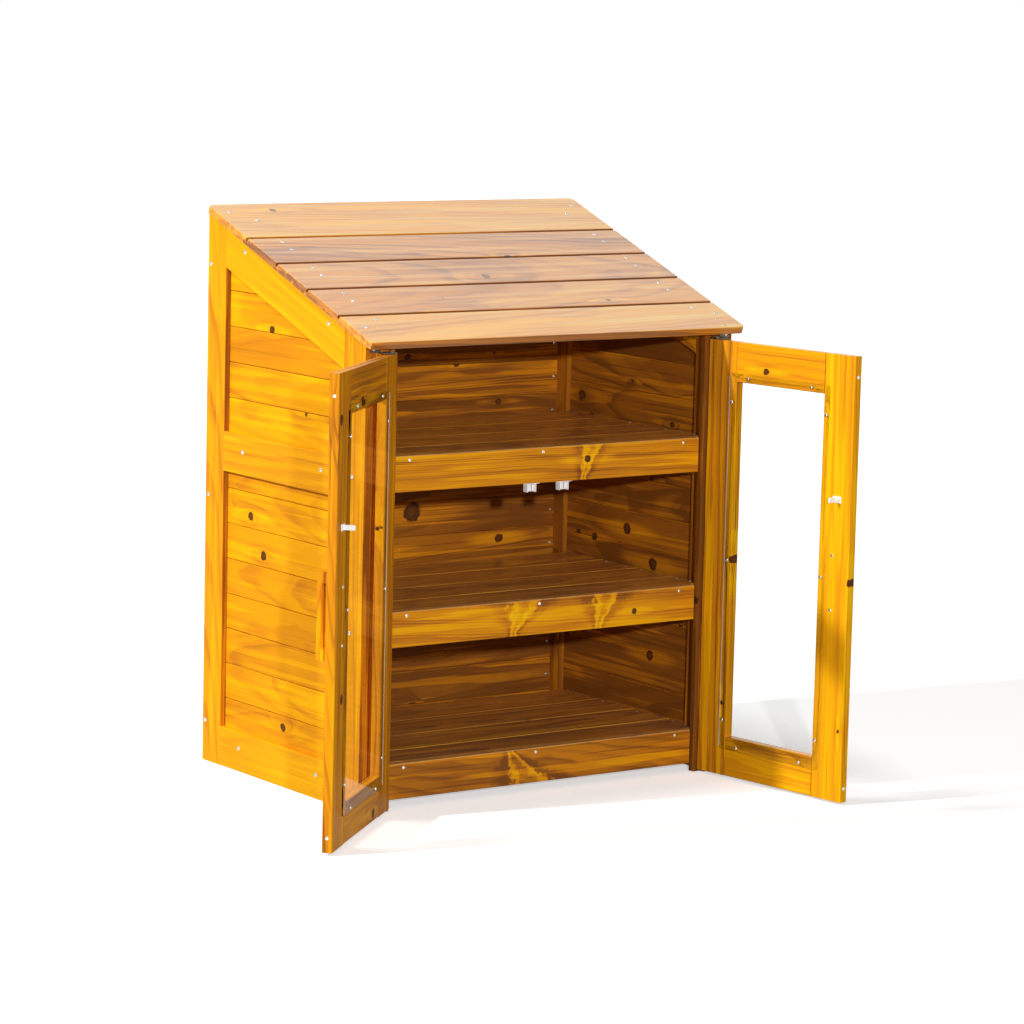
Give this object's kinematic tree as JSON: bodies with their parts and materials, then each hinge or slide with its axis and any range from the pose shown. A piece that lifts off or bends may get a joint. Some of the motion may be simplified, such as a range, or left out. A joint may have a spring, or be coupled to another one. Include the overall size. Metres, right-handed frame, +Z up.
{
  "type": "wooden mini greenhouse",
  "caption": "Lean-to wooden cabinet greenhouse with a sloping board roof, board sides and back, slatted shelves and a pair of framed doors with clear panes, standing open.",
  "frame": {"origin": "on the ground, half way along the foot rail of the back wall and in the middle of the rail's thickness", "axes": "+X to the right as seen from the front, +Y from the doors towards the back wall, +Z up; the doors face -Y"},
  "size_m": [1.184, 1.0096, 1.1587],
  "materials": {
    "pine_frame": "honey-coloured varnished pine with knots, satin",
    "pine_boards": "honey-coloured varnished pine boards, satin",
    "pine_roof": "honey-coloured varnished pine, slightly glossy",
    "pine_shelf": "honey-coloured varnished pine, satin",
    "pine_door": "honey-coloured varnished pine with knots, satin",
    "clear_sheet": "clear polished plastic sheet",
    "zinc_steel": "bright zinc-plated steel",
    "white_plastic": "white moulded plastic"
  },
  "bodies": {
    "cabinet": {"left_rear_stile": "pine_frame", "left_front_stile": "pine_frame", "left_top_rail": "pine_frame", "left_middle_rail": "pine_frame", "left_bottom_rail": "pine_frame", "left_lower_boards": "pine_boards", "left_upper_boards": "pine_boards", "left_front_board": "pine_frame", "right_rear_stile": "pine_frame", "right_front_stile": "pine_frame", "right_top_rail": "pine_frame", "right_middle_rail": "pine_frame", "right_bottom_rail": "pine_frame", "right_lower_boards": "pine_boards", "right_upper_boards": "pine_boards", "right_front_board": "pine_frame", "back_boards": "pine_boards", "back_battens": "pine_frame", "roof_board_1": "pine_roof", "roof_board_2": "pine_roof", "roof_board_3": "pine_roof", "roof_board_4": "pine_roof", "roof_board_5": "pine_roof", "roof_battens": "pine_frame", "lower_shelf_apron": "pine_shelf", "lower_shelf_boards": "pine_shelf", "lower_shelf_bearers": "pine_shelf", "middle_shelf_apron": "pine_shelf", "middle_shelf_boards": "pine_shelf", "middle_shelf_bearers": "pine_shelf", "upper_shelf_apron": "pine_shelf", "upper_shelf_boards": "pine_shelf", "upper_shelf_bearers": "pine_shelf", "catch_housings": "white_plastic", "catch_rollers": "white_plastic", "pivot_brackets": "zinc_steel", "hardware_screws": "zinc_steel", "roof_screws": "zinc_steel", "wall_screws": "zinc_steel", "shelf_screws": "zinc_steel"},
    "left_door": {"left_door_hinge_stile": "pine_door", "left_door_free_stile": "pine_door", "left_door_top_rail": "pine_door", "left_door_bottom_rail": "pine_door", "left_door_handle": "pine_door", "left_door_pane": "clear_sheet", "left_door_strike": "white_plastic", "left_door_pane_screws": "zinc_steel", "left_door_fixing_screws": "zinc_steel", "left_door_pivot_screws": "zinc_steel"},
    "right_door": {"right_door_hinge_stile": "pine_door", "right_door_free_stile": "pine_door", "right_door_top_rail": "pine_door", "right_door_bottom_rail": "pine_door", "right_door_handle": "pine_door", "right_door_pane": "clear_sheet", "right_door_strike": "white_plastic", "right_door_pane_screws": "zinc_steel", "right_door_fixing_screws": "zinc_steel", "right_door_pivot_screws": "zinc_steel"}
  },
  "joints": [
    {"name": "left_door_hinge", "type": "hinge", "parent": "cabinet", "child": "left_door", "pos_m": [-0.4, -0.602, 0.457], "axis": [0, 0, -1], "range_deg": [-138.4, 31.6]},
    {"name": "right_door_hinge", "type": "hinge", "parent": "cabinet", "child": "right_door", "pos_m": [0.4, -0.602, 0.457], "axis": [0, 0, 1], "range_deg": [-97.1, 72.9]}
  ]
}
